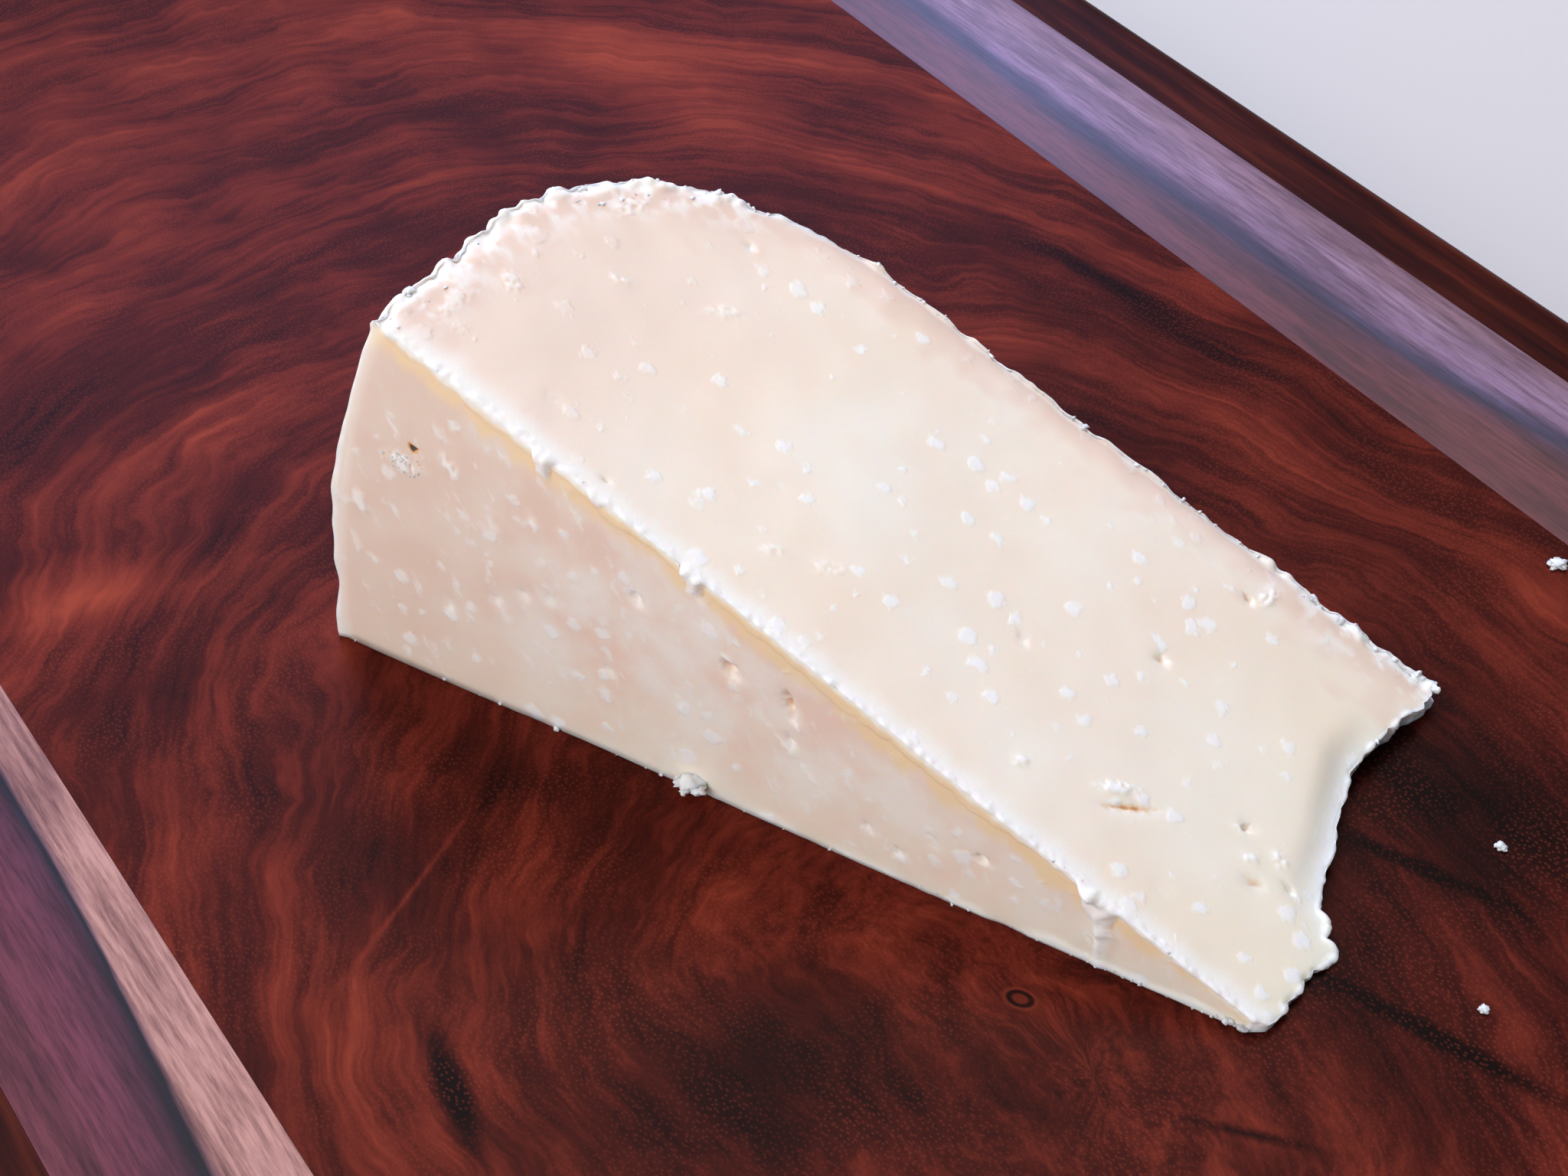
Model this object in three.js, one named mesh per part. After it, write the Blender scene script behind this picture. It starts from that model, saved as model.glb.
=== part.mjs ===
// A wedge of aged hard cheese lying on its side on a wooden serving board.
// Millimetres, +Z up, origin at the middle of the board's underside, +X along the board.

import * as THREE from 'three';

// ---- board -------------------------------------------------------------
const BOARD_LENGTH = 380;
const BOARD_THICKNESS = 25;
const PANEL_WIDTH = 175;        // end-grain middle
const FRONT_RAIL_WIDTH = 22;    // pale and purple strip glued along the panel's front
const BACK_RAIL_WIDTH = 25;     // the same along its back
const EDGE_WIDTH = 13;          // dark strip outside each rail
const LONG_EDGE_RADIUS = 4.5;   // round-over on the board's two long edges
const END_CHAMFER = 1.5;        // plain eased edge at both board ends
const ROUND_STEPS = 8;          // facets in each quarter round
const GAP = 0.3;                // between touching pieces

// ---- cheese: a sector of a low wheel, cut through the middle of its height
const WHEEL_RADIUS = 124;
const WEDGE_ANGLE = THREE.MathUtils.degToRad(24.5);
const HALF_HEIGHT = 57.5;       // from the level cut to the wheel's flat face
const RIM_STRAIGHT = 22;        // straight part of the wheel's side
const SHOULDER_REACH = 38;      // how far the rounded shoulder comes in from the rim
const FACE_FALL = 2.5;          // the wheel's flat face sags this much at the shoulder
const SHOULDER_STEPS = 12;
const WEDGE_STEPS = 8;          // facets around the wedge angle
const TIP_X = 117.5;            // where the thin end lies on the board
const TIP_Y = 1;
const WEDGE_TURN = THREE.MathUtils.degToRad(25.7);   // from the board's length

// The thin end broke away near the wheel's axis: [distance from the axis, distance across].
// It runs from the flat wheel face back to the level cut.
const BROKEN_END = [
  [6, 57], [6.2, 52.5], [8.2, 47], [9.8, 38], [8, 30.5], [6.4, 23.5], [4.9, 17.8], [2.8, 15.2],
  [0.8, 14], [1.9, 10], [2.3, 4], [3.1, 0],
];
const TIP_OFFSET = 4;           // from the wheel's axis to the placed tip point

// ---- crumbs ------------------------------------------------------------
// Loose bits of cheese on the board: [x, y, length, turn in degrees]
const CRUMBS = [
  [55.9, -30.9, 4.2, 26],
  [81.7, 81.9, 2.6, 75],
  [112.5, 41.5, 1.6, 10],
  [128.5, 23.2, 1.4, 120],
];

const panelWood = new THREE.MeshStandardMaterial({ color: 0x4a1d18, roughness: 0.55, metalness: 0 });
const railWood = new THREE.MeshStandardMaterial({ color: 0x8b5255, roughness: 0.4, metalness: 0 });
const edgeWood = new THREE.MeshStandardMaterial({ color: 0x4a1a12, roughness: 0.5, metalness: 0 });
const cheese = new THREE.MeshStandardMaterial({ color: 0xf0dfcf, roughness: 0.6, metalness: 0 });

const board = new THREE.Group();
const group = new THREE.Group();
group.add(board);

function addPiece(parent, name, geometry, material) {
  const mesh = new THREE.Mesh(geometry, material);
  mesh.name = name;
  parent.add(mesh);
  return mesh;
}

// Joins equal closed outlines (lists of Vector3) into one closed body with flat end caps.
function loft(outlines, capOutline) {
  const count = outlines[0].length;
  const positions = outlines.flat().flatMap((point) => point.toArray());
  const faces = [];
  for (let ring = 0; ring + 1 < outlines.length; ring += 1) {
    for (let i = 0; i < count; i += 1) {
      const here = ring * count + i;
      const next = ring * count + (i + 1) % count;
      faces.push(here, next, here + count, next, next + count, here + count);
    }
  }
  const last = (outlines.length - 1) * count;
  for (const [a, b, c] of THREE.ShapeUtils.triangulateShape(capOutline, [])) {
    faces.push(c, b, a, last + a, last + b, last + c);
  }
  const geometry = new THREE.BufferGeometry();
  geometry.setAttribute('position', new THREE.Float32BufferAttribute(positions, 3));
  geometry.setIndex(faces);
  geometry.computeVertexNormals();
  return geometry;
}

// ---- the board's five glued pieces -------------------------------------

// A strip of the board along X that is glued on both sides, with its ends eased above and below.
function innerStripGeometry(frontLine, backLine) {
  const front = frontLine + GAP / 2;
  const back = backLine - GAP / 2;
  const half = BOARD_LENGTH / 2;
  const rings = [[-half, END_CHAMFER], [-half + END_CHAMFER, 0], [half - END_CHAMFER, 0], [half, END_CHAMFER]]
    .map(([x, low]) => {
      const high = BOARD_THICKNESS - low;
      return [[front, low], [back, low], [back, high], [front, high]]
        .map(([across, height]) => new THREE.Vector3(x, across, height));
    });
  const cap = [[front, 0], [back, 0], [back, 1], [front, 1]].map(([a, b]) => new THREE.Vector2(a, b));
  return loft(rings, cap);
}

function quarterRound(centreAcross, centreHeight, startAngle) {
  return Array.from({ length: ROUND_STEPS + 1 }, (_, i) => {
    const angle = startAngle + (i / ROUND_STEPS) * Math.PI / 2;
    return [
      centreAcross + LONG_EDGE_RADIUS * Math.cos(angle),
      centreHeight + LONG_EDGE_RADIUS * Math.sin(angle),
    ];
  });
}

// An outer strip, from its [across, height] section listed anticlockwise seen from +X; the ends
// are eased by drawing the section in towards its middle height and its glued side.
function edgeStripGeometry(section, gluedSide) {
  const middle = BOARD_THICKNESS / 2;
  const heightScale = (middle - END_CHAMFER) / middle;
  const widthScale = (EDGE_WIDTH - END_CHAMFER) / EDGE_WIDTH;
  const ring = (x, eased) => section.map(([across, height]) => new THREE.Vector3(
    x,
    eased ? gluedSide + (across - gluedSide) * widthScale : across,
    eased ? middle + (height - middle) * heightScale : height,
  ));
  const half = BOARD_LENGTH / 2;
  const rings = [
    ring(-half, true), ring(-half + END_CHAMFER, false), ring(half - END_CHAMFER, false), ring(half, true),
  ];
  return loft(rings, section.map(([across, height]) => new THREE.Vector2(across, height)));
}

function backEdgeGeometry() {
  const inner = boardWidth / 2 - EDGE_WIDTH + GAP / 2;
  const roundCentre = boardWidth / 2 - LONG_EDGE_RADIUS;
  const section = [
    [inner, 0],
    ...quarterRound(roundCentre, LONG_EDGE_RADIUS, -Math.PI / 2),
    ...quarterRound(roundCentre, BOARD_THICKNESS - LONG_EDGE_RADIUS, 0),
    [inner, BOARD_THICKNESS],
  ];
  return edgeStripGeometry(section, inner);
}

function frontEdgeGeometry() {
  const inner = EDGE_WIDTH - boardWidth / 2 - GAP / 2;
  const roundCentre = LONG_EDGE_RADIUS - boardWidth / 2;
  const section = [
    [inner, BOARD_THICKNESS],
    ...quarterRound(roundCentre, BOARD_THICKNESS - LONG_EDGE_RADIUS, Math.PI / 2),
    ...quarterRound(roundCentre, LONG_EDGE_RADIUS, Math.PI),
    [inner, 0],
  ];
  return edgeStripGeometry(section, inner);
}

const boardWidth = 2 * EDGE_WIDTH + FRONT_RAIL_WIDTH + PANEL_WIDTH + BACK_RAIL_WIDTH;
const frontRailLine = EDGE_WIDTH - boardWidth / 2;
const panelFrontLine = frontRailLine + FRONT_RAIL_WIDTH;
const panelBackLine = panelFrontLine + PANEL_WIDTH;
const backRailLine = panelBackLine + BACK_RAIL_WIDTH;

addPiece(board, 'end_grain_panel', innerStripGeometry(panelFrontLine, panelBackLine), panelWood);
addPiece(board, 'front_rail', innerStripGeometry(frontRailLine, panelFrontLine), railWood);
addPiece(board, 'back_rail', innerStripGeometry(panelBackLine, backRailLine), railWood);
addPiece(board, 'front_edge', frontEdgeGeometry(), edgeWood);
addPiece(board, 'back_edge', backEdgeGeometry(), edgeWood);

// ---- the cheese --------------------------------------------------------

// Half of the wheel's outline as [distance from the axis, distance across], from the level cut
// round the rim and shoulder to the flat face, then back along the broken end.
function wheelOutline() {
  const shoulder = Array.from({ length: SHOULDER_STEPS + 1 }, (_, i) => {
    const angle = (i / SHOULDER_STEPS) * Math.PI / 2;
    return [
      WHEEL_RADIUS - SHOULDER_REACH * (1 - Math.cos(angle)),
      RIM_STRAIGHT + (HALF_HEIGHT - FACE_FALL - RIM_STRAIGHT) * Math.sin(angle),
    ];
  });
  return [[WHEEL_RADIUS, 0], ...shoulder, ...BROKEN_END];
}

// Local frame: the wheel's axis along Y, the lower cut on z = 0, the rim towards -X.
function wedgeGeometry() {
  const outline = wheelOutline();
  const rings = Array.from({ length: WEDGE_STEPS + 1 }, (_, i) => {
    const angle = WEDGE_ANGLE * (1 - i / WEDGE_STEPS);
    return outline.map(([radius, across]) => new THREE.Vector3(
      TIP_OFFSET - radius * Math.cos(angle), across, radius * Math.sin(angle),
    ));
  });
  return loft(rings, outline.map(([radius, across]) => new THREE.Vector2(radius, across)));
}

const boardTop = BOARD_THICKNESS + GAP;
const wedge = addPiece(group, 'cheese_wedge', wedgeGeometry(), cheese);
wedge.position.set(TIP_X, TIP_Y, boardTop);
wedge.rotation.z = WEDGE_TURN;

// ---- crumbs: low irregular lumps, flat underneath ----------------------
function crumbGeometry(length) {
  const sides = 7;
  const ring = (height, spread) => Array.from({ length: sides }, (_, i) => {
    const angle = (i / sides) * 2 * Math.PI;
    const reach = spread * length / 2 * (1 + 0.15 * Math.sin(3 * angle + length));
    return new THREE.Vector3(reach * Math.cos(angle), 0.7 * reach * Math.sin(angle), height * length);
  });
  const rings = [ring(0, 0.85), ring(0.2, 1), ring(0.42, 0.55)];
  return loft(rings, rings[0].map((point) => new THREE.Vector2(point.x, point.y)));
}

CRUMBS.forEach(([x, y, length, turn], index) => {
  const crumb = addPiece(group, `cheese_crumb_${index + 1}`, crumbGeometry(length), cheese);
  crumb.position.set(x, y, boardTop);
  crumb.rotation.z = THREE.MathUtils.degToRad(turn);
});

export default group;
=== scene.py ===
import math

import bmesh
import bpy
import numpy as np
from mathutils import Matrix, Vector, noise


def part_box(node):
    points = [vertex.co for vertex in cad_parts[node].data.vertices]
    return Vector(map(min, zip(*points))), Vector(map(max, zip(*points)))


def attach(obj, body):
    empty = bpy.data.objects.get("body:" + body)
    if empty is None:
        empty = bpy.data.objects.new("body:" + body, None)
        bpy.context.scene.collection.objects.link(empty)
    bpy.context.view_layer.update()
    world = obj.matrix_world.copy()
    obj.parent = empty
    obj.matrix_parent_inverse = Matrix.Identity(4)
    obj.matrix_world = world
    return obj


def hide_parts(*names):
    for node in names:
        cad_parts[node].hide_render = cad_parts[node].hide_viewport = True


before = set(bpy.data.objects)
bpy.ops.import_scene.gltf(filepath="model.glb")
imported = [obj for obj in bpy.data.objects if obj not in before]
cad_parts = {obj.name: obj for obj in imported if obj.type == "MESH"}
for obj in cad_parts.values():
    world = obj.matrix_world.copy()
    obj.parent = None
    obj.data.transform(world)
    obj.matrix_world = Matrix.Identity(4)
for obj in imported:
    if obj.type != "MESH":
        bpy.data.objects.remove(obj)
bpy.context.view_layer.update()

MM = 0.001

# ---- cheese_wedge --------------------------------------------------------
# A sector of a low wheel of aged hard cheese, split level through the middle of the wheel and
# lying on one of its two cut faces. The natural rind is left on the rim, the rounded shoulder and
# the wheel's flat side; the two knife faces are waxy, and the thin end broke off near the centre.

# Sizes in millimetres, in the wedge's own frame: the wheel's axis along Y, the lower cut on z = 0
# and the rim towards -X.
WHEEL_RADIUS = 124.0
WEDGE_ANGLE = math.radians(24.5)
HALF_HEIGHT = 57.5
RIM_STRAIGHT = 22.0
SHOULDER_REACH = 38.0
FACE_FALL = 2.5
TIP_OFFSET = 4.0
WEDGE_TURN = math.radians(25.7)
SINK = 0.25                     # closes most of the frame's gap to the board
# The broken thin end as (distance from the axis, distance across), front to back.
BROKEN_END = [
    (4.6, 0), (3.1, 0.6), (2.5, 1.8), (2.3, 4), (2.1, 7), (1.9, 10), (0.8, 12.8), (0.7, 14.6), (2.7, 14.9),
    (3.0, 17), (4.9, 17.8), (5.4, 20), (6.4, 23.5), (6.8, 27), (8, 30.5), (9, 35), (9.8, 38), (9.2, 43),
    (8.2, 47), (7.5, 50.5), (6.2, 52.5), (6, 57),
]
STEPS_ALONG = 116               # grid steps from the thin end to the rim
STEPS_ACROSS = 70
STEPS_UP = 38

# Hollows on a cut: (from the axis, across or up, half length, half width, turn, depth, stain), mm.
TOP_HOLLOWS = [
    (27.7, 12.5, 5.2, 0.5, 139, 0.35, 0.6),    # long narrow split
    (34.3, 32.9, 1.1, 0.5, -60, 0.8, 0.3),
    (16.1, 20.7, 1.0, 0.5, 130, 0.7, 0.2),
    (12.3, 14.9, 1.2, 0.4, 120, 0.7, 0.4),
    (8.4, 17.5, 0.9, 0.5, 60, 0.6, 0.1),
    (19.7, 6.5, 0.7, 0.35, 140, 0.5, 0.3),
    (30.2, 49.0, 1.0, 0.5, 15, 0.9, 0.3),
    (93.5, 2.6, 0.8, 0.35, 0, 0.4, 0.2),
    (104.0, 7.0, 0.7, 0.35, 140, 0.35, 0.15),
    (101.4, 44.0, 0.9, 0.6, 60, 0.35, 0.0),
    (79.5, 17.5, 0.6, 0.35, 140, 0.4, 0.1),
    (48.0, 22.0, 0.6, 0.4, 50, 0.4, 0.1),
]
FRONT_HOLLOWS = [
    (80.2, 25.9, 1.5, 0.9, 50, 0.7, 0.1),
    (68.1, 20.9, 1.9, 1.4, 40, 1.2, 0.3),      # round eye
    (60.6, 19.2, 3.0, 0.85, 78, 1.3, 0.4),     # split
    (60.6, 14.0, 1.6, 0.7, 72, 0.7, 0.1),
    (72.0, 30.0, 0.9, 0.5, 60, 0.8, 0.4),
    (36.5, 8.6, 1.1, 0.8, 30, 0.9, 0.1),
    (42.5, 8.3, 1.4, 0.3, 62, 0.4, 0.0),
    (109.5, 34.9, 1.0, 0.6, 75, 0.3, 2.2),      # dark fleck
    (108.7, 33.0, 1.3, 0.6, 70, 0.2, 0.3),
    (95.5, 19.5, 1.4, 1.0, 60, 0.3, 0.0),
    (92.0, 20.5, 1.3, 1.1, 60, 0.3, 0.0),
    (99.5, 17.0, 1.2, 0.8, 70, 0.3, 0.0),
    (106.5, 13.0, 1.1, 0.7, 60, 0.3, 0.0),
    (84.5, 13.0, 1.3, 0.8, 55, 0.3, 0.0),
    (50.5, 6.0, 1.2, 0.7, 50, 0.4, 0.05),
    (46.5, 4.2, 1.3, 0.8, 50, 0.4, 0.05),
]
# Raised, whitened scuffs: (from the axis, across or up, half length, half width, turn, strength).
TOP_SCUFFS = [
    (30.0, 13.6, 3.8, 1.2, 139, 1.0),           # lifted lip of the split
    (11.2, 19.9, 1.6, 1.3, 40, 1.0),
    (14.0, 17.4, 1.5, 0.9, 140, 0.8),
    (16.6, 20.0, 1.2, 0.8, 140, 0.7),
    (28.4, 51.5, 2.8, 1.4, 90, 1.0),
    (40.0, 8.2, 1.8, 0.8, 110, 0.8),
    (75.2, 9.5, 2.4, 1.1, 139, 0.4),
    (69.2, 12.5, 2.8, 1.4, 139, 0.4),
    (114.6, 37.5, 3.6, 1.7, 103, 0.7),
    (117.0, 16.5, 2.4, 1.8, 60, 0.6),
    (119.5, 9.0, 4.0, 1.6, 92, 0.6),
    (109.0, 27.0, 1.6, 0.9, 139, 0.6),
    (98.0, 33.0, 3.4, 1.4, 130, 0.4),
]
FRONT_SCUFFS = [
    (104.2, 34.6, 2.6, 1.6, 65, 0.9),
    (111.2, 32.2, 3.0, 1.9, 20, 1.0),
    (118.2, 23.5, 2.6, 1.0, 80, 0.8),
    (88.0, 25.0, 3.0, 0.9, 65, 0.5),
    (99.0, 28.5, 3.2, 0.9, 65, 0.5),
    (75.0, 12.0, 2.6, 0.8, 65, 0.5),
    (93.0, 30.7, 1.6, 0.5, 65, 0.9),
    (68.5, 22.5, 1.2, 0.5, 30, 1.0),
    (59.6, 16.6, 1.0, 0.7, 60, 1.2),
    (60.0, 12.0, 10.0, 0.28, 45, 0.7),          # knife scratch
    (22.3, 4.5, 3.2, 0.8, 88, 1.0),
]
# Bits that hang from the upper front edge: (from the axis, length down, half width), mm.
HANGING_BITS = [(111.5, 1.2, 1.2), (91.3, 2.9, 1.1), (84.6, 1.2, 1.0), (72.6, 3.3, 1.2), (22.8, 3.6, 2.1),
                (22.3, 7.0, 0.7)]


def resample(path, count):
    """The path's points spread over count equal steps."""
    path = np.array(path, float)
    run = np.concatenate([[0], np.cumsum(np.linalg.norm(np.diff(path, axis=0), axis=1))])
    at = np.linspace(0, run[-1], count + 1)
    return np.column_stack([np.interp(at, run, path[:, k]) for k in (0, 1)])


def distance_to(points, path):
    """How far each point lies from a path, both in the same plane."""
    best = np.full(len(points), np.inf)
    path = np.array(path, float)
    for start, end in zip(path[:-1], path[1:]):
        side = end - start
        along = np.clip((points - start) @ side / (side @ side), 0, 1)
        best = np.minimum(best, np.linalg.norm(points - start - along[:, None] * side, axis=1))
    return best


def fade(distance, reach):
    """1 at no distance, falling smoothly to 0 at reach."""
    t = np.clip(1 - distance / reach, 0, 1)
    return t * t * (3 - 2 * t)


def lumps(points, size, seed):
    """Smooth noise between about -1 and 1, with lumps of the given size."""
    shift = Vector((17.3, 5.1, 11.7)) * seed
    return np.array([noise.noise(Vector(p) / size + shift) for p in points]) * 1.4


def shoulder_arc(angle):
    return (WHEEL_RADIUS - SHOULDER_REACH * (1 - math.cos(angle)),
            RIM_STRAIGHT + (HALF_HEIGHT - FACE_FALL - RIM_STRAIGHT) * math.sin(angle))


rind_line = np.array(
    [(WHEEL_RADIUS, 0.0)] + [shoulder_arc(a) for a in np.linspace(0, math.pi / 2, 40)] + [BROKEN_END[-1]])
broken_line = np.array(BROKEN_END, float)


def wedge_mesh():
    """The wedge as an even grid of quads, before its surface is worked."""
    rind = resample(rind_line, STEPS_ACROSS + STEPS_ALONG)
    front = resample([BROKEN_END[0], (WHEEL_RADIUS, 0)], STEPS_ALONG)
    rim, back = rind[:STEPS_ACROSS + 1], rind[STEPS_ACROSS:][::-1]
    broken = resample(broken_line, STEPS_ACROSS)
    outline = np.vstack([front[:-1], rim[:-1], back[::-1][:-1], broken[::-1][:-1]])
    count = len(outline)
    corners = front[0], front[-1], back[0], back[-1]

    def cap_point(i, j):
        u, v = i / STEPS_ALONG, j / STEPS_ACROSS
        sides = (1 - v) * front[i] + v * back[i] + (1 - u) * broken[j] + u * rim[j]
        blend = ((1 - u) * (1 - v) * corners[0] + u * (1 - v) * corners[1]
                 + (1 - u) * v * corners[2] + u * v * corners[3])
        return sides - blend

    def place(point, angle):
        return (TIP_OFFSET - point[0] * math.cos(angle), point[1], point[0] * math.sin(angle))

    bm = bmesh.new()
    angles = [WEDGE_ANGLE * k / STEPS_UP for k in range(STEPS_UP + 1)]
    rings = [[bm.verts.new(place(p, angle)) for p in outline] for angle in angles]
    for low, high in zip(rings[:-1], rings[1:]):
        for i in range(count):
            n = (i + 1) % count
            bm.faces.new((low[i], low[n], high[n], high[i]))
    bm.faces.new(rings[0][::-1])

    top = {}
    for i in range(STEPS_ALONG + 1):
        for j in range(STEPS_ACROSS + 1):
            if j == 0:
                top[i, j] = rings[-1][i]
            elif i == STEPS_ALONG:
                top[i, j] = rings[-1][STEPS_ALONG + j]
            elif j == STEPS_ACROSS:
                top[i, j] = rings[-1][2 * STEPS_ALONG + STEPS_ACROSS - i]
            elif i == 0:
                top[i, j] = rings[-1][count - j]
            else:
                top[i, j] = bm.verts.new(place(cap_point(i, j), WEDGE_ANGLE))
    for i in range(STEPS_ALONG):
        for j in range(STEPS_ACROSS):
            bm.faces.new((top[i, j], top[i + 1, j], top[i + 1, j + 1], top[i, j + 1]))
    bmesh.ops.recalc_face_normals(bm, faces=bm.faces)
    return bm


def wedge_measures(points):
    """Where each point lies on the wedge: how far it is from each edge and skin, in mm."""
    radius = np.hypot(TIP_OFFSET - points[:, 0], points[:, 2])
    angle = np.arctan2(points[:, 2], TIP_OFFSET - points[:, 0])
    flat = np.column_stack([radius, points[:, 1]])
    m = {
        "radius": radius,
        "across": points[:, 1],
        "rind": distance_to(flat, rind_line),
        "broken": distance_to(flat, broken_line),
        "below_top": (WEDGE_ANGLE - angle) * radius,
        "above_base": angle * radius,
        "height": points[:, 2],
        "from_axis": TIP_OFFSET - points[:, 0],
    }
    m["ridge"] = np.hypot(m["across"], m["below_top"])
    m["top"] = m["below_top"] < 0.01
    m["front"] = m["across"] < 0.01
    # 1 where the rind's cut edge is chalky, at the rim and near the break; 0 between
    m["chalky"] = np.clip(np.maximum((radius - 96) / 12, (34 - radius) / 14), 0, 1)
    return m


def patches(first, second, marks, grow=1.0):
    """For each mark, how deep each point is inside it, from 0 at its rim to 1 at its middle."""
    for mark in marks:
        at, off, length, width, turn = mark[:5]
        c, s = math.cos(math.radians(turn)), math.sin(math.radians(turn))
        du, dv = first - at, second - off
        reach = np.hypot((c * du + s * dv) / (length * grow), (c * dv - s * du) / (width * grow))
        yield fade(reach, 1.0), mark[5:]


FACE_MARKS = (("top", "radius", "across", TOP_HOLLOWS, TOP_SCUFFS),
              ("front", "from_axis", "height", FRONT_HOLLOWS, FRONT_SCUFFS))


def near_marks(m, grow):
    found = np.zeros(len(m["radius"]))
    for face, at, across, hollows, scuffs in FACE_MARKS:
        for inside, _ in patches(m[at], m[across], hollows + scuffs, grow):
            found += inside * m[face]
    return found > 0


def first_detail(m):
    edge = (m["rind"] < 1.5 + 2.5 * m["chalky"]) & (m["below_top"] < 3)
    low = (m["rind"] < 2) & (m["across"] < 1.5)
    return (m["ridge"] < 3.5) | edge | low | (m["broken"] < 3.5) | near_marks(m, 1.5)


def second_detail(m):
    edge = (m["rind"] < 0.6 + 1.4 * m["chalky"]) & (m["below_top"] < 1.2)
    flap = (m["across"] < 1.2) & (m["below_top"] < 2.4)
    return flap | edge | near_marks(m, 1.0) | ((m["broken"] < 1.0) & (m["below_top"] < 2.5))


bm = wedge_mesh()
for wanted in (first_detail, second_detail):
    chosen = wanted(wedge_measures(np.array([v.co for v in bm.verts])))
    for vert, pick in zip(bm.verts, chosen):
        vert.tag = bool(pick)
    edges = [e for e in bm.edges if e.verts[0].tag and e.verts[1].tag
             and all(len(f.verts) < 9 for f in e.link_faces)]
    bmesh.ops.subdivide_edges(bm, edges=edges, cuts=1, use_grid_fill=True)
bm.normal_update()
base = np.array([v.co for v in bm.verts])
normals = np.array([v.normal for v in bm.verts])
m = wedge_measures(base)

# Natural rind: lumpy all over, crumbly where the knife left its edge.
skin = fade(m["rind"], 0.4)
crumbly = fade(m["rind"], 0.8 + 2.0 * m["chalky"]) * fade(m["below_top"], 3.0) * (0.5 + 0.5 * m["chalky"])
push = skin * (0.45 * lumps(base, 11, 1) + 0.25 * lumps(base, 4, 2))
push += crumbly * (0.8 * lumps(base, 2.8, 3) + 0.4 * lumps(base, 1.3, 4))
# Knife faces: nearly flat, eased at the rind.
push += (1 - skin) * (0.22 * lumps(base, 24, 5) + 0.05 * lumps(base, 5, 6))
push -= 0.3 * fade(m["rind"], 2.5) * m["top"]
# Broken end: torn, and in its middle scooped down from the upper cut almost to the board.
SCOOP_MIDDLE, SCOOP_HALF_WIDTH, SCOOP_REACH = 29, 14, 4.4
scoop = np.exp(-((m["across"] - SCOOP_MIDDLE) / SCOOP_HALF_WIDTH) ** 4)
dip = fade(m["broken"], SCOOP_REACH) * scoop * (m["above_base"] > 0.05)
torn = fade(m["broken"], 0.6) * (1 - 0.6 * dip)
push += torn * (0.6 * lumps(base, 5, 7) + 0.5 * lumps(base, 2, 8) + 0.25 * lumps(base, 0.9, 9)) * np.clip(
    m["across"] / 6, 0.15, 1)
shift = np.zeros_like(base)
shift[:, 2] -= dip * np.clip(m["height"] - 0.5, 0, 6) * 0.38

# Upper front edge: a thin flap of cheese dragged over it by the knife, ragged below.
edge_line = base * [1, 0, 0.3]
ragged = lumps(edge_line, 2.4, 10) + 0.6 * lumps(edge_line, 0.9, 11)
thin_end = np.clip(m["radius"] / 45, 0.25, 1)
flap_reach = (1.5 + 0.9 * lumps(edge_line, 7, 16) + 0.4 * ragged) * thin_end
bit_reach = np.zeros(len(base))
for at, length, width in HANGING_BITS:
    bit_reach += length * np.exp(-((m["from_axis"] - at - 0.3 * ragged) / width) ** 4)
flap = np.clip((flap_reach - m["below_top"]) / 0.3, 0, 1) * m["front"]
bits = np.clip((bit_reach - m["below_top"]) / 0.3, 0, 1) * m["front"] * np.clip(bit_reach, 0, 1)
stand_out = np.clip(1.1 - m["below_top"] / (bit_reach + 0.1), 0.25, 1.1) * np.clip(bit_reach / 3, 0.35, 1)
shift[:, 1] -= flap * 0.12 + bits * stand_out * (0.9 + 0.4 * lumps(base, 1.5, 12))
wide_end = np.clip((m["radius"] - 95) / 20, 0, 1)
lip = fade(m["ridge"], 1.2 + 0.4 * ragged + 0.5 * wide_end)
lip_top = fade(m["across"], 3.6 + 0.8 * ragged + 1.0 * wide_end) * m["top"]
push += lip * 0.15 * lumps(base, 0.9, 13)
# Lower front edge: pressed out here and there where it meets the board.
foot_reach = 0.9 + 0.9 * lumps(edge_line, 6, 14) + 0.3 * ragged
foot = np.clip((foot_reach - m["above_base"]) / 0.6, 0, 1) * m["front"] * fade(m["from_axis"] - 40, 90)
shift[:, 1] -= foot * 0.25

# Eyes, splits, pits and scuffs.
stain = np.zeros(len(base))
halo = np.zeros(len(base))
scuffed = np.zeros(len(base))
rough_mark = 1 + 0.5 * lumps(base, 0.7, 15)
streaky = 0.5 + 0.9 * lumps(base * [1, 1, 0.5], 0.6, 17)
for face, at, across, hollows, scuffs in FACE_MARKS:
    for inside, (strength,) in patches(m[at], m[across], scuffs):
        scuffed = np.maximum(scuffed, np.clip(2.2 * inside * streaky, 0, 1) * m[face] * strength)
    for around, (_, colour) in patches(m[at], m[across], hollows, 1.7):
        halo = np.maximum(halo, around * m[face] * np.clip(1.2 - 2 * colour, 0.3, 1))
push += 0.2 * scuffed
for face, at, across, hollows, _ in FACE_MARKS:
    for inside, (depth, colour) in patches(m[at], m[across], hollows):
        inside = np.clip(inside * rough_mark, 0, 1.1) * m[face]
        push -= inside * depth
        stain = np.maximum(stain, inside * colour)

points = base + normals * push[:, None] + shift
points[:, 2] = np.maximum(points[:, 2], 0.0)

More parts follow.
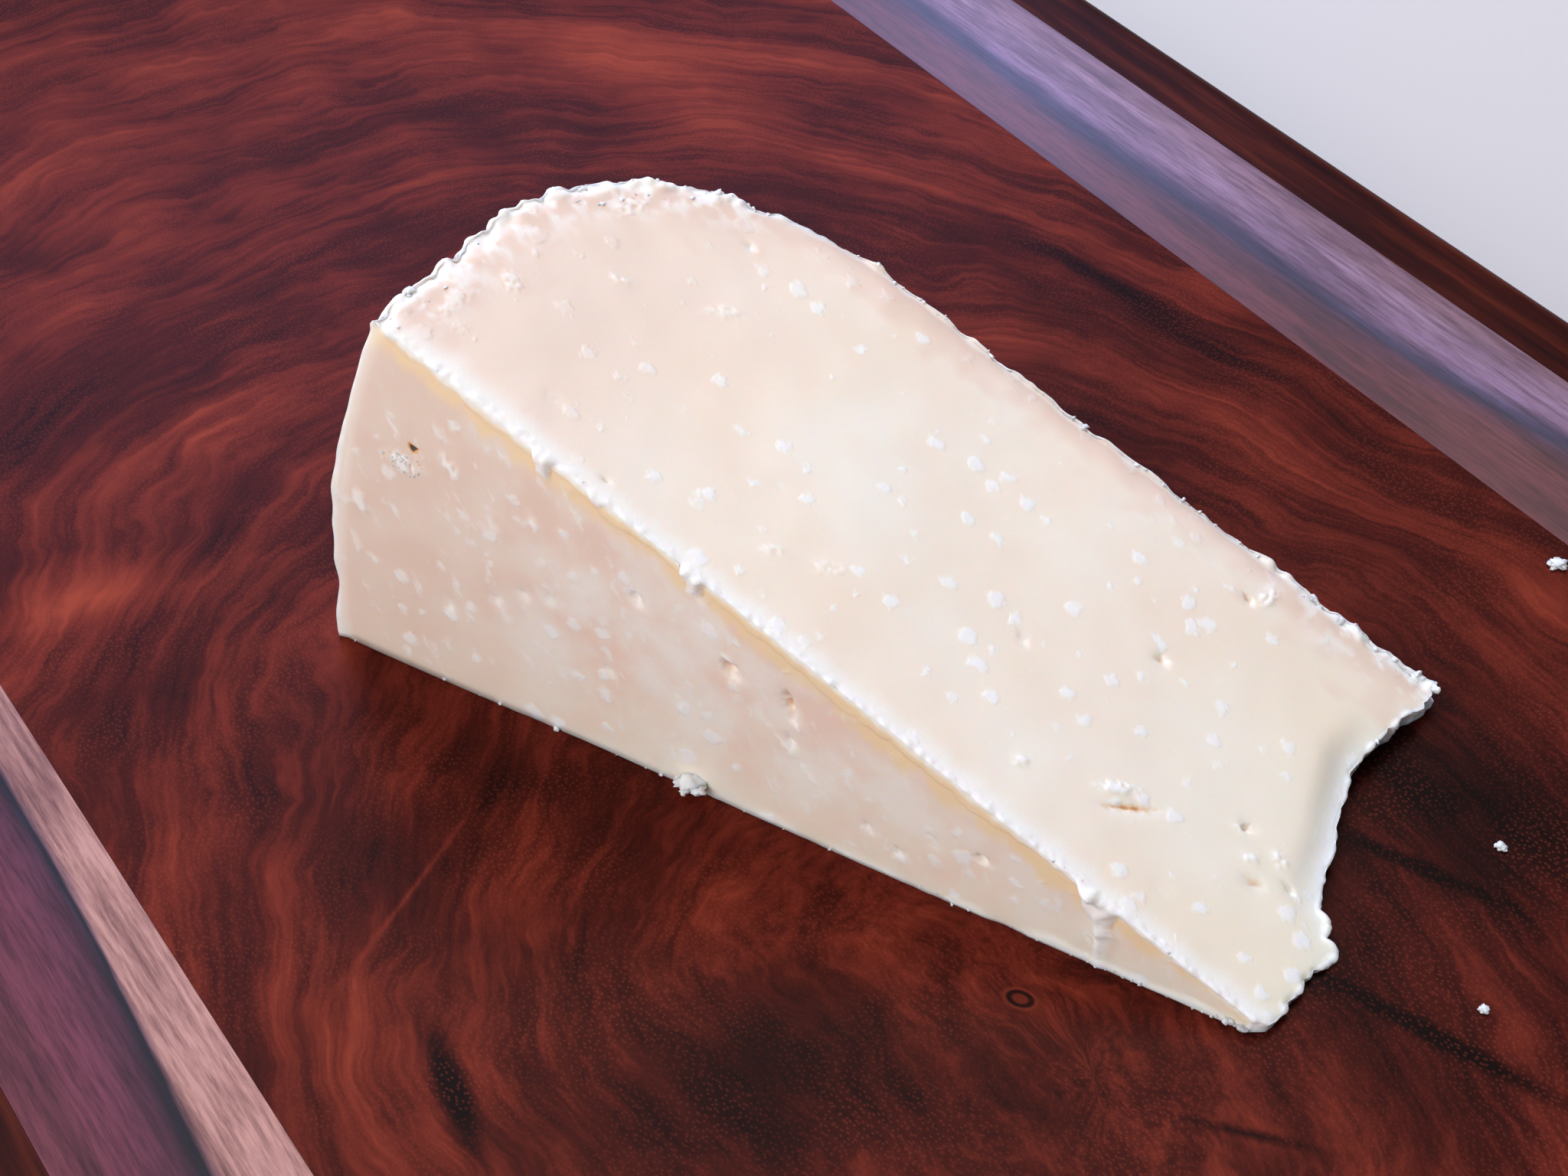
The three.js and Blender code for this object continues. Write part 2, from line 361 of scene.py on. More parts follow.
# The wedge stands where the frame's wedge stands.
turn = np.array([[math.cos(WEDGE_TURN), -math.sin(WEDGE_TURN)], [math.sin(WEDGE_TURN), math.cos(WEDGE_TURN)]])
low_corner = np.array(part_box("cheese_wedge")[0]) / MM
offset = low_corner[:2] - (base[:, :2] @ turn.T).min(axis=0)
placed = points.copy()
placed[:, :2] = points[:, :2] @ turn.T + offset
placed[:, 2] += low_corner[2] - SINK

for vert, spot in zip(bm.verts, placed * MM):
    vert.co = spot
flakes = np.clip(0.15 + 1.7 * lumps(base, 2.2, 18) + 1.1 * lumps(base, 0.9, 23), 0, 1)
frost = np.maximum(fade(m["rind"], 9) * flakes, fade(m["rind"], 2.6)) * m["chalky"] * m["top"]
uneven = 1 + 0.45 * lumps(base, 3, 19)
# Painted light: a warm peach glow about 4 mm deep below the upper front edge, where light shines through the
# thin cheese.
upright = base * [1, 1, 0.4]
edge_glow_reach = 4.0 + 1.3 * lumps(upright, 3, 20) + 0.7 * lumps(upright, 0.9, 21)
edge_glow_reach = edge_glow_reach * np.clip(m["radius"] / 25, 0.5, 1)
# Painted shade near the rind, laid half as strong on the level cut.
rind_shade_reach = np.clip(1 - m["rind"] * uneven / (9 + 4 * m["chalky"]), 0, 1)
masks = {
    "rind": skin,
    "near_rind_shade": rind_shade_reach * (1 - skin) * np.where(m["front"], 0.55, 1),
    "front": m["front"] * 0.8,
    "thin": np.maximum(np.clip((34 - m["radius"]) / 24, 0, 1),
                       0.75 * m["front"] * np.clip((17 - m["height"]) / 15, 0, 1)),
    "dry_end": np.clip((m["radius"] + 5 * lumps(base, 9, 22) - 86) / 26, 0, 1),
    "painted_edge_glow": 0.9 * np.clip((edge_glow_reach - m["below_top"]) / 1.6, 0, 1) * m["front"],
    # In white, the 0.9 * dip term is painted light: it brightens the scooped slope at the broken end, which
    # faces away from the lamps.
    "white": np.clip(np.maximum.reduce([
        lip, 0.85 * lip_top, 0.95 * bits, 0.6 * foot, torn, 0.9 * dip, 0.5 * halo, 0.85 * scuffed,
        0.9 * frost, 0.7 * crumbly * m["chalky"], 0.6 * fade(m["rind"], 2.6) * m["front"]]), 0, 1),
    "stain": stain,
}
layers = {name: bm.verts.layers.float.new(name) for name in masks}
for name, layer in layers.items():
    for vert, value in zip(bm.verts, masks[name]):
        vert[layer] = float(value)
bmesh.ops.triangulate(bm, faces=[f for f in bm.faces if len(f.verts) > 4])


def mesh_object(name, bm, *materials):
    """A smooth-shaded object from a finished bmesh."""
    mesh = bpy.data.meshes.new(name)
    bm.normal_update()
    bm.to_mesh(mesh)
    bm.free()
    mesh.shade_smooth()
    obj = bpy.data.objects.new(name, mesh)
    bpy.context.scene.collection.objects.link(obj)
    for material in materials:
        mesh.materials.append(material)
    return obj


def srgb(hex_colour, alpha=1.0):
    """A hex colour as the linear values that sockets take."""
    channels = [int(hex_colour[i:i + 2], 16) / 255 for i in (1, 3, 5)]
    return [c / 12.92 if c <= 0.04045 else ((c + 0.055) / 1.055) ** 2.4 for c in channels] + [alpha]


def add_node(tree, kind, links=(), **settings):
    """Adds a node. A setting is an attribute, or else an input by name or by _number; a link is
    (input name or number, other node, its output name or number)."""
    node = tree.nodes.new(kind)
    inputs = {}
    for key, value in settings.items():
        if hasattr(node, key):
            setattr(node, key, value)
        else:
            inputs[key] = value
    for key, value in inputs.items():
        socket = node.inputs[int(key[1:])] if key[0] == "_" else node.inputs[key.replace("_", " ")]
        socket.default_value = value
    for target, source, output in links:
        tree.links.new(source.outputs[output], node.inputs[target])
    return node


def new_material(name):
    material = bpy.data.materials.new(name)
    material.use_nodes = True
    material.node_tree.nodes.clear()
    return material, material.node_tree


def colour_ramp(tree, source, output, stops):
    """A colour ramp over (position, hex colour) or (position, hex colour, alpha) stops."""
    node = add_node(tree, "ShaderNodeValToRGB", [("Fac", source, output)])
    ramp = node.color_ramp
    while len(ramp.elements) < len(stops):
        ramp.elements.new(0.5)
    for element, (position, *colour) in zip(ramp.elements, stops):
        element.position = position
        element.color = srgb(*colour)
    return node


def mix_colour(tree, factor, first, second, **settings):
    """Mixes two colours. Each is (node, output), or a plain value for its socket."""
    links, inputs = [], {}
    for socket, value in (("Factor", factor), (6, first), (7, second)):
        if isinstance(value, tuple):
            links.append((socket, *value))
        else:
            inputs[socket if socket == "Factor" else f"_{socket}"] = value
    return add_node(tree, "ShaderNodeMix", links, data_type="RGBA", **inputs, **settings)


# Aged hard cheese: pale ivory paste, waxy and slightly see-through where a knife has cut it, with
# white tyrosine crystals of 1 to 2 mm; the rind is dry and chalky, and torn or smeared cheese is
# almost white because it is full of small cracks.
cheese, tree = new_material("aged_hard_cheese")
where = add_node(tree, "ShaderNodeTexCoord")
mask = {name: add_node(tree, "ShaderNodeAttribute", attribute_name=name) for name in masks}
clouds = add_node(tree, "ShaderNodeTexNoise", [("Vector", where, "Object")], Scale=1 / (20 * MM), Detail=3.0)
paste = colour_ramp(tree, clouds, "Fac", [(0.3, "#F9E5D3"), (0.5, "#FCECDD"), (0.7, "#FDF2E7")])

# Crystals, in cells 3.2 mm apart; about two in three hold a clear one, up to 2.5 mm across.
wobble = add_node(tree, "ShaderNodeTexNoise", [("Vector", where, "Object")], Scale=1 / (1.2 * MM), Detail=2.5)
wobble_mm = add_node(tree, "ShaderNodeVectorMath", [(0, wobble, "Color")], operation="MULTIPLY_ADD",
                     _1=(1.7 * MM,) * 3, _2=(-0.85 * MM,) * 3)
crystal_at = add_node(tree, "ShaderNodeVectorMath", [(0, where, "Object"), (1, wobble_mm, 0)],
                      operation="ADD")
cells = add_node(tree, "ShaderNodeTexVoronoi", [("Vector", crystal_at, 0)], Scale=1 / (3.2 * MM))
cell_number = add_node(tree, "ShaderNodeSeparateColor", [("Color", cells, "Color")])
crystal_size = add_node(tree, "ShaderNodeMapRange", [("Value", cell_number, "Red")],
                        _1=0.25, _2=1.0, _3=-0.04, _4=0.4)
crystal_gap = add_node(tree, "ShaderNodeMath", [(0, crystal_size, 0), (1, cells, "Distance")],
                       operation="SUBTRACT")
crystal = add_node(tree, "ShaderNodeMapRange", [("Value", crystal_gap, 0)], interpolation_type="SMOOTHSTEP",
                   _1=-0.09, _2=0.17, _3=0.0, _4=0.8)
thin_mix = add_node(tree, "ShaderNodeMath", [(0, mask["thin"], "Fac")], operation="MULTIPLY", _1=0.6)
with_thin = mix_colour(tree, (thin_mix, 0), (paste, 0), srgb("#F7EEDA"))
with_crystals = mix_colour(tree, (crystal, 0), (with_thin, 2), srgb("#FFFEFD"))

# The level cut: pinker between dragged whitish streaks, 2 mm by 5 mm, that lean with the knife.
LEAN_ASIDE, LEAN_UP = 0.371, 0.928
STREAK_STRETCH = 2.4
lean = Vector((-LEAN_ASIDE * math.cos(WEDGE_TURN), -LEAN_ASIDE * math.sin(WEDGE_TURN), LEAN_UP))
side = Vector((LEAN_UP * math.cos(WEDGE_TURN), LEAN_UP * math.sin(WEDGE_TURN), LEAN_ASIDE))
along_knife = add_node(tree, "ShaderNodeVectorMath", [(0, crystal_at, 0)], operation="DOT_PRODUCT",
                       _1=lean / STREAK_STRETCH)
over_knife = add_node(tree, "ShaderNodeVectorMath", [(0, crystal_at, 0)], operation="DOT_PRODUCT", _1=side)
knife = add_node(tree, "ShaderNodeCombineXYZ", [("X", along_knife, "Value"), ("Y", over_knife, "Value")])
streaks = add_node(tree, "ShaderNodeTexNoise", [("Vector", knife, 0)], Scale=1 / (2.1 * MM), Detail=4.0)
front_tone = add_node(tree, "ShaderNodeTexNoise", [("Vector", where, "Object")], Scale=1 / (8 * MM),
                      Detail=4.0)
front_colour = colour_ramp(tree, front_tone, "Fac", [(0.36, "#F2D6C9"), (0.5, "#F8E7DE"), (0.62, "#FBF2ED")])
front_mix = add_node(tree, "ShaderNodeMath", [(0, mask["front"], "Fac"), (1, thin_mix, 0)],
                     operation="SUBTRACT", use_clamp=True)
with_front = mix_colour(tree, (front_mix, 0), (with_crystals, 2), (front_colour, 0))
dry_end = add_node(tree, "ShaderNodeMath", [(0, mask["dry_end"], "Fac")], operation="MULTIPLY", _1=0.7)
with_dry_end = mix_colour(tree, (dry_end, 0), (with_front, 2), srgb("#EAD6C6"))
streak = add_node(tree, "ShaderNodeMapRange", [("Value", streaks, "Fac")], interpolation_type="SMOOTHSTEP",
                  _1=0.58, _2=0.72, _3=0.0, _4=0.7)
front_white = add_node(tree, "ShaderNodeMath", [(0, streak, 0), (1, crystal, 0)], operation="MAXIMUM")
front_marks = add_node(tree, "ShaderNodeMath", [(0, front_white, 0), (1, mask["front"], "Fac")],
                       operation="MULTIPLY")
with_streaks = mix_colour(tree, (front_marks, 0), (with_dry_end, 2), srgb("#FFFDFC"))

# Next to the rind: a pale line, then a beige band that fades over 7 to 10 mm, painted shade where the top
# rolls down towards the rind.
rind_shade_band = colour_ramp(tree, mask["near_rind_shade"], "Fac", [
    (0.25, "#EFD9CA", 0.0), (0.6, "#EACFBF", 0.45), (0.86, "#E4CABA", 0.75), (0.95, "#F6EFEA", 0.9)])
with_rind_shade = mix_colour(tree, (rind_shade_band, "Alpha"), (with_streaks, 2), (rind_shade_band, "Color"))
grain = add_node(tree, "ShaderNodeTexNoise", [("Vector", where, "Object")], Scale=1 / (1.6 * MM), Detail=4.0)
rind_colour = colour_ramp(tree, grain, "Fac", [(0.32, "#DECDBF"), (0.48, "#EFE4DB"), (0.62, "#FAF6F3")])
with_rind = mix_colour(tree, (mask["rind"], "Fac"), (with_rind_shade, 2), (rind_colour, 0))
# painted glow of light through the thin upper front edge
with_edge_glow = mix_colour(tree, (mask["painted_edge_glow"], "Fac"), (with_rind, 2), srgb("#FFE1B9"))
with_white = mix_colour(tree, (mask["white"], "Fac"), (with_edge_glow, 2), srgb("#FFFEFB"))
stain_colour = colour_ramp(tree, mask["stain"], "Fac", [
    (0.0, "#F3D6AE"), (0.5, "#E3AC6C"), (0.9, "#C07A42"), (1.0, "#2A1A14")])
stain_mix = add_node(tree, "ShaderNodeMapRange", [("Value", mask["stain"], "Fac")],
                     _1=0.05, _2=0.5, _3=0.0, _4=0.9)
cheese_colour = mix_colour(tree, (stain_mix, 0), (with_white, 2), (stain_colour, 0))

dry = add_node(tree, "ShaderNodeMath", [(0, mask["rind"], "Fac"), (1, mask["white"], "Fac")],
               operation="MAXIMUM")
roughness = add_node(tree, "ShaderNodeMapRange", [("Value", dry, 0)], _1=0.0, _2=1.0, _3=0.42, _4=0.8)
fine = add_node(tree, "ShaderNodeTexNoise", [("Vector", where, "Object")], Scale=1 / (0.5 * MM), Detail=3.0)
fine_amount = add_node(tree, "ShaderNodeMapRange", [("Value", dry, 0)], _1=0.0, _2=1.0, _3=0.1, _4=0.45)
fine_relief = add_node(tree, "ShaderNodeMath", [(0, fine, "Fac"), (1, fine_amount, 0)], operation="MULTIPLY")
all_marks = add_node(tree, "ShaderNodeMath", [(0, crystal, 0), (1, front_marks, 0)], operation="MAXIMUM")
relief = add_node(tree, "ShaderNodeMath", [(0, all_marks, 0), (2, fine_relief, 0)],
                  operation="MULTIPLY_ADD", _1=0.5)
bump = add_node(tree, "ShaderNodeBump", [("Height", relief, 0)], Strength=0.7, Distance=0.22 * MM)
shader = add_node(tree, "ShaderNodeBsdfPrincipled",
                  [("Base Color", cheese_colour, 2), ("Roughness", roughness, 0), ("Normal", bump, 0)],
                  IOR=1.45, Subsurface_Weight=0.6, Subsurface_Radius=(1.0, 0.62, 0.4),
                  Subsurface_Scale=2.2 * MM)
add_node(tree, "ShaderNodeOutputMaterial", [("Surface", shader, 0)])

wedge = mesh_object("cheese_wedge_cut", bm, cheese)
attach(wedge, "root")
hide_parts("cheese_wedge")

# ---- cheese_crumb_1 to 4 --------------------------------------------------
# Loose crumbs that fell on the board: torn bits of the same cheese, lumpy and almost white.


def add_lump(bm, white, centre, size, seed, detail):
    """Adds one torn lump of cheese to a mesh: centre and its (length, width, height) in metres."""
    for vert in bmesh.ops.create_icosphere(bm, subdivisions=detail, radius=0.5)["verts"]:
        direction = vert.co.normalized()
        swell = 1 + 0.65 * noise.noise(direction * 1.5 + Vector((seed, 0, 0)))
        swell += 0.5 * noise.noise(direction * 3.4 + Vector((0, seed, 0)))
        sized = Vector(direction[i] * 0.5 * swell * size[i] for i in range(3))
        vert.co = Vector(centre) + Matrix.Rotation(seed * 2.4, 3, "Z") @ sized
        vert[white] = 1


LEAN_ON_FOOT = Vector((-0.6, 1.1, 0.9)) * MM

for number in range(1, 5):
    low, high = (Vector(c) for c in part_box(f"cheese_crumb_{number}"))
    size = high - low
    centre = (low + high) / 2 - Vector((0, 0, SINK * MM))
    if number == 1:             # the largest leans on the wedge, pressed a little into its foot
        centre += LEAN_ON_FOOT
    bm = bmesh.new()
    white = bm.verts.layers.float.new("white")
    lump_parts = [(0, 0, 0.8), (0.3, 0.1, 0.5), (-0.28, -0.2, 0.45), (0.12, -0.3, 0.35), (-0.1, 0.3, 0.4)]
    for part, (dx, dy, scale) in enumerate(lump_parts):
        spot = centre + Vector((dx * size.x, dy * size.y, -(1 - scale) * size.z / 2.2))
        add_lump(bm, white, spot, size * scale, number * 7 + part, 3)
    crumb = mesh_object(f"loose_crumb_{number}", bm, cheese)
    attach(crumb, "root")
    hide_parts(f"cheese_crumb_{number}")

# ---- stuck_crumbs -----------------------------------------------------------
# Fine crumbs that stay on the wedge: along the rind's cut edge, the dragged upper edge, the broken
# end, the foot and one grainy patch of the level cut. Each is a torn lump sunk into the cheese.

draw = np.random.default_rng(11)
from_patch = np.hypot((m["from_axis"] - 111) / 3, (m["height"] - 32) / 1.6)
# Where, how many, and the smallest and largest length in mm.
spots = {
    "chalky edge": ((m["rind"] < 1.2) & (m["below_top"] < 1.2) & (m["chalky"] > 0.2), 40, 0.4, 1.4),
    "chalky band": ((m["rind"] < 3.6) & m["top"] & (m["chalky"] > 0.5), 40, 0.2, 0.8),
    "back edge": ((m["rind"] < 0.4) & (m["below_top"] < 0.6) & (m["chalky"] < 0.2), 60, 0.25, 1.0),
    "ridge": ((m["ridge"] < 0.4) & (m["radius"] > 5), 10, 0.2, 0.4),
    "break": ((m["broken"] < 0.4) & (m["above_base"] > 0.4) & (m["across"] > 12), 22, 0.2, 0.7),
    "foot": ((m["above_base"] < 0.5) & m["front"] & (m["radius"] > 5), 60, 0.25, 1.0),
    "grainy patch": (m["front"] & (from_patch < 1), 30, 0.25, 0.6),
}
bm = bmesh.new()
white = bm.verts.layers.float.new("white")
for chosen, count, small, large in spots.values():
    for index in draw.choice(np.flatnonzero(chosen), count, replace=False):
        length = min(large, small * (1 - draw.uniform()) ** -0.55)
        size = length * np.array([1, draw.uniform(0.5, 0.9), draw.uniform(0.4, 0.7)])
        spot = placed[index] + draw.uniform(-0.15, 0.15, 3) * length
        spot[2] = max(spot[2], placed[:, 2].min() + size[2] / 2)
        add_lump(bm, white, spot * MM, size * MM, float(draw.uniform(0, 50)), 2)
stuck = mesh_object("stuck_crumbs", bm, cheese)
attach(stuck, "root")

# ---- end_grain_panel -------------------------------------------------------
# The board's middle: one block of dark red-brown hardwood sawn across the trunk, so its top shows
# end grain, with growth rings around a heart near one end and pores as pale dots. Oiled, matt.

panel_low, panel_high = (np.array(c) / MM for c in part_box("end_grain_panel"))
board_length, _, board_thickness = panel_high - panel_low
JOINT_GAP = 0.04                # a tight glue line, where the frame leaves FRAME_GAP
FRAME_GAP = 0.3
END_EASE = 1.5
EASE_STEPS = 5
EDGE_WIDTH = 13.0
SHARP_ANGLE = math.radians(35)


def board_strip(name, section, edge_line, material):
    """A strip of the board along X from its [across, height] section in mm, with its ends rounded
    over above and below, and beyond edge_line if it has an outer side."""
    middle = board_thickness / 2
    turns = [k / EASE_STEPS * math.pi / 2 for k in range(EASE_STEPS + 1)]
    ends = [(side, angle) for side in (-1, 1) for angle in turns[::side]]
    bm = bmesh.new()
    rings = []
    for side, angle in ends:
        inset = END_EASE * (1 - math.cos(angle))
        x = side * (board_length / 2 - END_EASE * (1 - math.sin(angle)))
        ring = []
        for across, height in section:
            share = 0 if edge_line is None else abs(across - edge_line) / EDGE_WIDTH
            outward = 0 if edge_line is None else math.copysign(1, edge_line)
            z = middle + (height - middle) * (1 - inset / middle)
            ring.append(bm.verts.new((x * MM, (across - outward * inset * share) * MM, z * MM)))
        rings.append(ring)
    for low, high in zip(rings[:-1], rings[1:]):
        for i in range(len(section)):
            n = (i + 1) % len(section)
            bm.faces.new((low[i], low[n], high[n], high[i]))
    bm.faces.new(rings[0])
    bm.faces.new(rings[-1][::-1])
    bmesh.ops.recalc_face_normals(bm, faces=bm.faces)
    strip = mesh_object(name, bm, material)
    strip.data.set_sharp_from_angle(angle=SHARP_ANGLE)
    return strip


# Dense tropical hardwood across the grain, sanded and oiled: almost no gloss, deep red-brown, with
# pale-filled pores. Everything in it runs straight down through the block, so it depends on x and y.
panel_wood, tree = new_material("oiled_end_grain_hardwood")
where = add_node(tree, "ShaderNodeTexCoord")
HEART = (112.0, -20.0)          # the trunk's centre, in mm on the board
OVAL = (0.62, 1.0)              # the rings are longer along the board
down = add_node(tree, "ShaderNodeVectorMath", [(0, where, "Object")], operation="MULTIPLY", _1=(1, 1, 0))
bend = add_node(tree, "ShaderNodeTexNoise", [("Vector", down, 0)], Scale=1 / (60 * MM), Detail=5.0)
bend_mm = add_node(tree, "ShaderNodeVectorMath", [(0, bend, "Color")], operation="MULTIPLY_ADD",
                   _1=(40 * MM,) * 3, _2=(-20 * MM,) * 3)
bent = add_node(tree, "ShaderNodeVectorMath", [(0, down, 0), (1, bend_mm, 0)], operation="ADD")
from_heart = add_node(tree, "ShaderNodeVectorMath", [(0, bent, 0)], operation="SUBTRACT",
                      _1=(HEART[0] * MM, HEART[1] * MM, 0))
flat = add_node(tree, "ShaderNodeVectorMath", [(0, from_heart, 0)], operation="MULTIPLY", _1=(*OVAL, 0))
ring = add_node(tree, "ShaderNodeVectorMath", [(0, flat, 0)], operation="LENGTH")
heading = add_node(tree, "ShaderNodeVectorMath", [(0, flat, 0)], operation="NORMALIZE")
heading_xy = add_node(tree, "ShaderNodeSeparateXYZ", [("Vector", heading, 0)])
around = add_node(tree, "ShaderNodeCombineXYZ", [
    ("X", ring, "Value"), ("Y", heading_xy, "X"), ("Z", heading_xy, "Y")])
# Streaks 3 mm wide that run about 40 mm along the rings, and fibres 0.8 mm by 7 mm.
streak_at = add_node(tree, "ShaderNodeVectorMath", [(0, around, 0)], operation="MULTIPLY",
                     _1=(1 / (3.2 * MM), 2.0, 2.0))
streaks = add_node(tree, "ShaderNodeTexNoise", [("Vector", streak_at, 0)], Scale=1.0, Detail=4.0)
fibre_at = add_node(tree, "ShaderNodeVectorMath", [(0, around, 0)], operation="MULTIPLY",
                    _1=(1 / (0.8 * MM), 12.0, 12.0))
fibres = add_node(tree, "ShaderNodeTexNoise", [("Vector", fibre_at, 0)], Scale=1.0, Detail=3.0)
ring_only = add_node(tree, "ShaderNodeCombineXYZ", [("X", ring, "Value")])
bands = add_node(tree, "ShaderNodeTexNoise", [("Vector", ring_only, 0)], Scale=1 / (17 * MM), Detail=3.0)
blotches = add_node(tree, "ShaderNodeTexNoise", [("Vector", down, 0)], Scale=1 / (30 * MM), Detail=6.0,
                    Roughness=0.62)
tone = add_node(tree, "ShaderNodeMath", [(0, bands, "Fac")], operation="MULTIPLY", _1=0.30)
for source, weight in ((streaks, 0.28), (fibres, 0.18), (blotches, 0.36)):
    tone = add_node(tree, "ShaderNodeMath", [(0, source, "Fac"), (2, tone, 0)],
                    operation="MULTIPLY_ADD", _1=weight)
# Single patches of the block: (x, y, half length, half width, turn, lighter or darker), mm. One of them is
# painted shadow.
PATCHES = [
    (92, -46, 40, 28, 10, -0.2),
    (44, -64, 34, 20, -15, -0.16),
    (78, -72.5, 15, 2.8, -12, -0.5),
    (51, -63, 26, 0.9, -58, 0.14),
    # painted shadow: a darker band along the foot of the wedge's level cut
    (44, -44, 26, 11, 24, -0.09),
    (-14, -74, 30, 13, 78, 0.2),
    (-92, -42, 40, 28, 60, 0.1),
    (-88, 48, 38, 17, 12, 0.1),
    (-48, 60, 30, 14, 10, 0.06),
    (6, 74, 34, 4.5, 9, -0.2),
    (104, 42, 48, 28, 15, -0.27),
    (109, 31.5, 20, 2, 23, -0.28),
    (128, 16.5, 26, 2, 19, -0.36),
    (114, 10, 40, 26, 20, -0.16),
    (127, -8, 13, 1.2, 40, -0.2),
]
for x, y, length, width, turn_degrees, change in PATCHES:
    framed = add_node(tree, "ShaderNodeMapping", [("Vector", down, 0)], vector_type="TEXTURE",
                      Location=(x * MM, y * MM, 0), Rotation=(0, 0, math.radians(turn_degrees)),
                      Scale=(length * MM, width * MM, 1))
    patch = add_node(tree, "ShaderNodeTexGradient", [("Vector", framed, 0)], gradient_type="QUADRATIC_SPHERE")
    tone = add_node(tree, "ShaderNodeMath", [(0, patch, "Fac"), (2, tone, 0)],
                    operation="MULTIPLY_ADD", _1=change)
wood_colour = colour_ramp(tree, tone, 0, [
    (0.34, "#130605"), (0.44, "#280C09"), (0.53, "#43150F"), (0.62, "#66251A"), (0.74, "#8E3C28")])

# Pores 0.8 mm apart along the board and 0.6 mm across it, each about 0.3 mm wide.
pore_at = add_node(tree, "ShaderNodeVectorMath", [(0, down, 0)], operation="MULTIPLY", _1=(1.0, 1.4, 0))
pore_cells = add_node(tree, "ShaderNodeTexVoronoi", [("Vector", pore_at, 0)], voronoi_dimensions="2D",
                      Scale=1 / (0.82 * MM), Randomness=0.9)
pore = add_node(tree, "ShaderNodeMapRange", [("Value", pore_cells, "Distance")],
                interpolation_type="SMOOTHSTEP", _1=0.08, _2=0.36, _3=1.0, _4=0.0)
pore_patches = add_node(tree, "ShaderNodeTexNoise", [("Vector", down, 0)], Scale=1 / (14 * MM), Detail=4.0)
pore_amount = add_node(tree, "ShaderNodeMapRange", [("Value", pore_patches, "Fac")],
                       _1=0.35, _2=0.65, _3=0.03, _4=0.23)
pore_mix = add_node(tree, "ShaderNodeMath", [(0, pore, 0), (1, pore_amount, 0)], operation="MULTIPLY")
with_pores = mix_colour(tree, (pore_mix, 0), (wood_colour, 0), srgb("#8A4030"))
# A small knot: a dark ring 3 mm across.
KNOT = (100.3, -16.6)
knot_at = add_node(tree, "ShaderNodeMapping", [("Vector", down, 0)], vector_type="TEXTURE",
                   Location=(KNOT[0] * MM, KNOT[1] * MM, 0), Rotation=(0, 0, 0.5),
                   Scale=(2.4 * MM, 1.7 * MM, 1))
knot = add_node(tree, "ShaderNodeTexGradient", [("Vector", knot_at, 0)], gradient_type="SPHERICAL")
knot_colour = colour_ramp(tree, knot, "Fac", [
    (0.0, "#5A2218", 0.0), (0.25, "#6E2C1E", 0.8), (0.4, "#160808", 0.9), (0.55, "#160808", 0.9),
    (0.7, "#5E2419", 0.9)])
with_knot = mix_colour(tree, (knot_colour, "Alpha"), (with_pores, 2), (knot_colour, "Color"))
wood_bump = add_node(tree, "ShaderNodeBump", [("Height", pore, 0)], invert=True, Strength=0.3,
                     Distance=0.05 * MM)
shader = add_node(tree, "ShaderNodeBsdfPrincipled", [("Base Color", with_knot, 2), ("Normal", wood_bump, 0)],
                  Roughness=0.36, IOR=1.5, Specular_IOR_Level=0.025)
add_node(tree, "ShaderNodeOutputMaterial", [("Surface", shader, 0)])

widen = (FRAME_GAP - JOINT_GAP) / 2


def flat_section(node):
    """The section of a strip that is glued on both sides, from its box in the frame."""
    front, back = (c[1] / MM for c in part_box(node))
    front, back = front - widen, back + widen
    return [(front, 0), (back, 0), (back, board_thickness), (front, board_thickness)]


panel = board_strip("board_end_grain_panel", flat_section("end_grain_panel"), None, panel_wood)
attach(panel, "root")
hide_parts("end_grain_panel")

# ---- front_rail and back_rail -----------------------------------------------
# Long-grain strips glued along the panel, each cut where the trunk's pale sapwood meets its purple
# heartwood, with a blue-black line between them. Planed flush with the panel and oiled satin. On the back
# rail the lavender of the outer half is a painted sheen of bluish window light.


BAND_SPAN = 24.0


